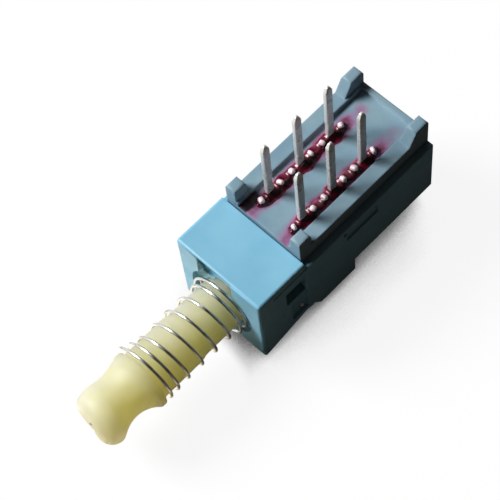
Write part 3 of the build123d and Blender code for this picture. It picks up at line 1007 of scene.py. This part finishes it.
@dataclass
class Plunger:
    """Nylon plunger: round stem, shoulder for the spring, keyed head and the slider inside."""

    stem: float = 1.56
    outer_stem: float = 1.66
    widens: tuple[float, float] = (2.75, 3.25)
    shoulder_at: float = 6.35
    shoulder_length: float = 0.2
    shoulder: float = 1.95
    bulb_at: float = 9.45
    bulb: float = 1.82
    tip: float = 1.1
    reach: float = 10.45
    flat: float = 1.65
    flat_start: float = 6.8
    neck_at: float = 8.15
    neck: float = 1.5
    hollow: float = 2.0
    neck_shift: float = 0.14
    notch_half: float = 0.2
    notch_depth: float = 0.55
    notch_drop: float = 0.1
    step_back: float = 0.2  # how much shorter the end is left of the notch than right of it
    edge: float = 0.06
    sides: int = 144

    def profile(self) -> np.ndarray:
        """Distance from the front face and radius along the plunger's outline.

        The stem widens a little past the length that enters the bore, and ends in a square step
        with a rounded edge. The head narrows in
        a straight line to the bulb, follows an arc that is level at the bulb and ends at the
        tip's radius, and a cap rises from there as 1 - (r / rim)^3.

        Returns:
            An array of distance and radius, n by 2, from inside the housing to the end's middle.
        """
        quarter = np.linspace(0, np.pi / 2, 6)
        corner = self.shoulder - self.edge
        stem_d = np.linspace(-1.1, self.shoulder_at - 0.01, 60)
        eased = np.clip((stem_d - self.widens[0]) / (self.widens[1] - self.widens[0]), 0, 1)
        eased = eased**2 * (3 - 2 * eased)
        stem = np.stack([stem_d, self.stem + (self.outer_stem - self.stem) * eased], 1)
        step = np.stack([np.full(4, self.shoulder_at),
                         np.linspace(self.outer_stem + 0.02, corner, 4)], 1)
        bend = np.stack([self.shoulder_at + self.edge * (1 - np.cos(quarter)),
                         corner + self.edge * np.sin(quarter)], 1)
        starts = self.shoulder_at + self.shoulder_length
        taper_d = np.linspace(starts, self.bulb_at, 66)
        share = (taper_d - starts) / (self.bulb_at - starts)
        taper = np.stack([taper_d, self.shoulder + (self.bulb - self.shoulder) * share], 1)
        rise, drop = self.reach - self.bulb_at, self.bulb - self.tip
        arc_radius = (rise**2 + drop**2) / (2 * drop)
        turn = np.linspace(0, 0.84 * np.arcsin(rise / arc_radius), 22)[1:]
        arc = np.stack([self.bulb_at + arc_radius * np.sin(turn),
                        self.bulb - arc_radius * (1 - np.cos(turn))], 1)
        rim_d, rim = arc[-1]
        fall = np.linspace(1, 0, 34)[1:]
        cap = np.stack([rim_d + (self.reach - rim_d) * (1 - fall**3), rim * fall], 1)
        return np.concatenate([stem, step, bend, taper, arc, cap])

    def surface(self, front: float, axis: float) -> np.ndarray:
        """Carry the outline round the axis and cut the neck, the flats and the end's notch.

        The neck is a hollow round a line that lies off the axis by c: a point in direction u is
        held within c . u + sqrt(n^2 - c^2 + (c . u)^2), where n is the hollow's radius at that
        distance, by a soft minimum. The flats hold |x| softly below their half width. Near the
        end every point moves back by the step left of the notch and by the notch's groove.

        Args:
            front: Y of the housing's front face.
            axis: Z of the plunger's axis.

        Returns:
            A grid of points, outline by sides by three.
        """
        d, r = self.profile().T
        turn = np.linspace(0, 2 * np.pi, self.sides, endpoint=False)[None]
        across = d - self.neck_at
        inside = np.clip(self.hollow**2 - across**2, 0, None)
        limit = np.where(inside > 0, self.neck + self.hollow - np.sqrt(inside), 9.0)[:, None]
        shift = np.array([-self.neck_shift, self.neck_shift])
        towards = shift[0] * np.cos(turn) + shift[1] * np.sin(turn)
        held = towards + np.sqrt(limit**2 - shift @ shift + towards**2)
        gap = np.clip((r[:, None] - held) / 0.035, -40, 40)
        radius = r[:, None] - 0.035 * np.log1p(np.exp(gap))
        radius = np.where(limit < 8, radius, r[:, None])
        x, z = radius * np.cos(turn), radius * np.sin(turn)
        keyed = np.clip((d - self.flat_start) / 0.1, 0, 1)[:, None]
        x = x + (x / (1 + np.abs(x / self.flat) ** 22) ** (1 / 22) - x) * keyed
        end_starts = self.bulb_at + 0.35
        near_end = np.clip((d - end_starts) / (self.reach - end_starts), 0, 1)[:, None]
        left = 1 / (1 + np.exp((x - 0.1) / 0.09))
        groove = np.exp(-((x / self.notch_half) ** 4)) / (1 + np.exp((z + self.notch_drop) / 0.06))
        back = near_end * (self.step_back * left + self.notch_depth * groove)
        return np.stack([x, front - d[:, None] + back, z + axis], -1)

    def build(self) -> None:
        """Make the shaft and head, and dress the slider behind them."""
        front = corners("plunger")[0][1] + self.reach
        axis = plunger_axis()
        # the head gets painted warm shade low down and painted dark shade in its notch
        nylon = NaturalNylon(
            head_y=float(front - self.bulb_at + 0.6), under_z=float(axis - self.bulb + 0.1),
            notch_shade_at=(0.05, float(front - self.reach + 0.35), float(axis - 0.2)),
        ).material()
        shaft = Shape().add(self.surface(front, axis))
        start = self.surface(front, axis)[:1]
        lid = np.concatenate([np.broadcast_to(start.mean(1, keepdims=True), start.shape), start])
        shaft.add(lid)
        piece = shaft.piece("plunger_shaft", nylon, crease=42.0)
        show(piece, Body.PLUNGER, Slot.NYLON, "plunger")
        slider = merged_copy(
            "plunger", "plunger_slider", nylon, ((0, float(front + 0.93), 0), (0, 1, 0))
        )
        show(slider, Body.PLUNGER, Slot.NYLON, "plunger")


@dataclass
class Latch:
    """The bent latch wire and its leaf spring."""

    wire: float = 0.175
    bend: float = 0.3
    finish: BrightMetal = BrightMetal(
        "latch_steel", (0.72, 0.72, 0.74), (0.55, 0.53, 0.52), 0.24, (1.0, 8.0, 1.0)
    )

    def path(self) -> np.ndarray:
        """Centre line of the wire: tip, arm and pivot, with circular bends.

        A bend's points are corner + r ((1 - sin a) in + (1 - cos a) out), where `in` and `out`
        point from the corner to its neighbours and a goes from 0 to a right angle.

        Returns:
            Points of the centre line, n by 3.
        """
        low, high = corners("latch_wire")
        tip = np.array([low[0], high[1] - self.wire, high[2] - self.wire])
        pivot = np.array([high[0], low[1] + self.wire, low[2] + self.wire])
        hinge = next(j for j in frame["joints"] if j["name"] == "latch_swing")
        arm_x = hinge["pos_m"][0] / MM
        points = [tip + [self.wire, 0, 0], np.array([arm_x, *tip[1:]]),
                  np.array([arm_x, *pivot[1:]]), pivot - [self.wire, 0, 0]]
        runs = [points[0][None]]
        for before, corner, after in zip(points, points[1:], points[2:]):
            into = (before - corner) / np.linalg.norm(before - corner)
            out = (after - corner) / np.linalg.norm(after - corner)
            turn = np.linspace(0, np.pi / 2, 9)[:, None]
            leaving, arriving = 1 - np.sin(turn), 1 - np.cos(turn)
            runs.append(corner + self.bend * (leaving * into + arriving * out))
        runs.append(points[-1][None])
        return np.concatenate(runs)

    def build(self) -> None:
        """Make the wire and dress the leaf spring."""
        metal = self.finish.material()
        path = self.path()
        arm = path[-1] - path[0]
        across = np.cross([1.0, 0.0, 0.0], arm / np.linalg.norm(arm))
        tube = sweep(path, across / np.linalg.norm(across), self.wire, 16)
        wire = Shape().add(tube).piece("latch_pawl_wire", metal)
        show(wire, Body.LATCH, Slot.LATCH, "latch_wire")
        show(
            merged_copy("latch_leaf_spring", "latch_leaf", metal),
            Body.CASE, Slot.LATCH, "latch_leaf_spring",
        )


@dataclass
class ContactClips:
    """The sliding clips that straddle the terminals' blades."""

    finish: BrightMetal = BrightMetal(
        "contact_bronze", (0.86, 0.72, 0.48), (0.66, 0.50, 0.32), 0.22, (1.0, 8.0, 1.0)
    )

    def build(self) -> None:
        """Dress both clips."""
        metal = self.finish.material()
        for side in ("left", "right"):
            show(
                merged_copy(f"contact_clip_{side}", f"clip_{side}", metal),
                Body.PLUNGER, Slot.CONTACT, f"contact_clip_{side}",
            )


@dataclass
class Studio:
    """Plain pale floor, one soft key from the left, faint fill, and the camera.

    Directions have no length. `eye`, `aim` and `lens` are in millimetres, and what the lamp and
    the floor measure is in metres.
    """

    eye: tuple[float, float, float] = (35.167, -34.21, 95.098)
    aim: tuple[float, float, float] = (-0.571, -5.823, 5.241)
    upward: tuple[float, float, float] = (-0.59878, 0.66396, 0.4479)
    lens: float = 127.0
    key_from: tuple[float, float, float] = (-0.60, -0.42, 0.68)
    key_power: float = 9.6
    key_size: float = 0.32
    key_distance: float = 0.8
    fill: float = 0.022
    fill_tint: tuple[float, float, float] = (1.0, 0.55, 0.35)  # a brown room, not a blue sky
    sky_towards: tuple[float, float, float] = (-0.85, -0.2, 0.49)
    sky_dark: float = 0.4  # how far towards that direction the sky starts to show
    sky_white: float = 0.9
    far_gloss: float = 0.04  # how white the dark side of the surroundings is to a glossy ray
    floor_grey: float = 0.09
    floor_glow: float = 0.91
    floor_reach: float = 0.0035  # from here on the floor is white to a glossy ray
    contact_reach: float = 0.006
    contact_dark: float = 0.3  # openness up to which the floor is in full contact shade
    contact_light: float = 0.66  # openness from which it has none
    clear_inner: float = 0.0078  # round the bounce's middle the floor has no contact shade
    clear_outer: float = 0.0092
    bounce: float = 1.0  # how pale the paper is under the head, to the light that it throws
    bounce_middle: tuple[float, float, float] = (0.0, -0.0178, 0.0)
    bounce_inner: float = 0.0055
    bounce_outer: float = 0.009
    bounce_tint: tuple[float, float, float] = (1.0, 0.9, 0.74)  # warmed by the nylon

    def camera(self) -> None:
        """Set the camera, level with nothing: its own upward direction gives the roll."""
        made = bpy.data.cameras.new("camera")
        made.lens, made.sensor_width = self.lens, 36.0
        made.clip_start, made.clip_end = 0.005, 5.0
        camera = bpy.data.objects.new("camera", made)
        bpy.context.scene.collection.objects.link(camera)
        eye, aim = Vector(self.eye), Vector(self.aim)
        back = (eye - aim).normalized()
        right = Vector(self.upward).cross(back).normalized()
        up = back.cross(right)
        turn = Matrix((right, up, back)).transposed().to_4x4()
        camera.matrix_world = Matrix.Translation(eye * MM) @ turn
        bpy.context.scene.camera = camera

    def lamp(self, name: str, direction: tuple[float, float, float], power: float,
             size: float, distance: float) -> None:
        """Add one square soft lamp that faces the switch.

        Args:
            name: the lamp's name.
            direction: from the switch towards the lamp.
            power: in watts.
            size: its side, in metres.
            distance: from the switch, in metres.
        """
        made = bpy.data.lights.new(name, "AREA")
        made.energy, made.size = power, size
        lamp = bpy.data.objects.new(name, made)
        bpy.context.scene.collection.objects.link(lamp)
        away = Vector(direction).normalized()
        lamp.location = Vector(self.aim) * MM + away * distance
        lamp.rotation_mode = "QUATERNION"
        lamp.rotation_quaternion = away.to_track_quat("Z", "Y")

    def shown(
        self, nodes: Nodes, place: bpy.types.NodeSocket, direction: tuple[float, float, float],
        dark_at: float, white_at: float,
    ) -> bpy.types.NodeSocket:
        """Say how white the surroundings are to a ray.

        It is 1 for a camera or transmission ray and 0 for a ray that carries light. A glossy ray
        gets a value that rises from `far_gloss` to 1 with the dot product of a place and a
        direction, so that the metal shows a white side and a dark side.

        Args:
            nodes: the world's or the floor's nodes.
            place: where the ray ends, or its direction.
            direction: the way in which the surroundings get brighter.
            dark_at: the dot product up to which the value is `far_gloss`.
            white_at: the dot product from which the value is 1.

        Returns:
            The whiteness.
        """
        towards = nodes.node("ShaderNodeVectorMath", operation="DOT_PRODUCT")
        towards.inputs[1].default_value = Vector(direction).normalized()
        nodes.link(place, towards.inputs[0])
        side = nodes.span(towards.outputs["Value"], dark_at, white_at, self.far_gloss, 1.0)
        rays = nodes.node("ShaderNodeLightPath").outputs
        gloss = nodes.maths("MULTIPLY", rays["Is Glossy Ray"], side)
        clear = nodes.maths("MAXIMUM", rays["Is Camera Ray"], rays["Is Transmission Ray"])
        return nodes.maths("MAXIMUM", clear, gloss)

    def sky(self) -> None:
        """White to the camera and, on the lamp's side, to reflections, over a low fill."""
        world = bpy.data.worlds.new("studio")
        bpy.context.scene.world = world
        world.use_nodes = True
        nodes = Nodes(world.node_tree)
        nodes.tree.nodes.clear()
        place = nodes.node("ShaderNodeTexCoord").outputs["Generated"]
        shown = self.shown(nodes, place, self.sky_towards, self.sky_dark, self.sky_white)
        tint = nodes.node("ShaderNodeMix", data_type="RGBA")
        tint.inputs[6].default_value = (*(self.fill * part for part in self.fill_tint), 1)
        tint.inputs[7].default_value = (1, 1, 1, 1)
        nodes.link(shown, tint.inputs[0])
        paint = nodes.node("ShaderNodeBackground")
        nodes.link(tint.outputs[2], paint.inputs["Color"])
        output = nodes.node("ShaderNodeOutputWorld")
        nodes.link(paint.outputs[0], output.inputs["Surface"])

    def floor(self) -> None:
        """Add the floor: white to the camera outside the switch's soft shadow and its contact.

        The paper throws little light back beside the housing, so that its far side stays dark,
        and much before it, where it brightens the plunger from below.
        """
        left, right, front, back = -2.0, 4.0, -3.0, 3.0  # no diagonal passes under the switch
        mesh = bpy.data.meshes.new("floor")
        corners = [(left, front, 0), (right, front, 0), (right, back, 0), (left, back, 0)]
        mesh.from_pydata(corners, [], [(0, 1, 2, 3)])
        made = bpy.data.objects.new("floor", mesh)
        bpy.context.scene.collection.objects.link(made)
        paper = bpy.data.materials.new("floor_paper")
        paper.use_nodes = True
        nodes = Nodes(paper.node_tree)
        shader = nodes.tree.nodes["Principled BSDF"].inputs
        shader["Roughness"].default_value = 0.9
        shader["Specular IOR Level"].default_value = 0.0
        shader["Emission Color"].default_value = (1, 1, 1, 1)
        place = nodes.node("ShaderNodeTexCoord").outputs["Object"]
        apart = nodes.node("ShaderNodeVectorMath", operation="DISTANCE")
        apart.inputs[1].default_value = self.bounce_middle
        nodes.link(place, apart.inputs[0])
        bounce = nodes.span(apart.outputs["Value"], self.bounce_inner, self.bounce_outer,
                            self.bounce, self.floor_grey)
        warm = nodes.node("ShaderNodeVectorMath", operation="SCALE")
        warm.inputs[0].default_value = self.bounce_tint
        nodes.link(bounce, warm.inputs["Scale"])
        paint = nodes.node("ShaderNodeMix", data_type="RGBA")
        nodes.link(nodes.node("ShaderNodeLightPath").outputs["Is Camera Ray"], paint.inputs[0])
        nodes.link(warm.outputs[0], paint.inputs[6])
        paint.inputs[7].default_value = (*[self.floor_grey] * 3, 1)
        nodes.link(paint.outputs[2], shader["Base Color"])
        above = nodes.node("ShaderNodeAmbientOcclusion", samples=8)
        above.inputs["Distance"].default_value = self.contact_reach
        near = nodes.span(above.outputs["AO"], self.contact_dark, self.contact_light,
                          0.0, self.floor_glow)
        before = nodes.span(apart.outputs["Value"], self.clear_inner, self.clear_outer,
                            self.floor_glow, 0.0)
        glow = nodes.maths("MAXIMUM", near, before)
        shown = self.shown(nodes, place, (-1, 0, 0), -0.0005, self.floor_reach)
        nodes.link(nodes.maths("MULTIPLY", shown, glow), shader["Emission Strength"])
        mesh.materials.append(paper)

    def build(self) -> None:
        """Set up the whole studio."""
        bpy.context.scene.view_settings.view_transform = "Standard"
        self.camera()
        self.lamp("key", self.key_from, self.key_power, self.key_size, self.key_distance)
        self.sky()
        self.floor()


def main() -> None:
    """Build every piece."""
    logging.basicConfig(level=logging.INFO, format="%(name)s: %(message)s")
    Studio().build()
    Housing().build()
    TerminalTray().build()
    Terminals().build()
    varnish = SealingVarnish().material()
    for side in ("left", "right"):
        VarnishBead(side).build(varnish)
    ReturnSpring().build()
    Plunger().build()
    Latch().build()
    ContactClips().build()


if __name__ == "__main__":
    main()
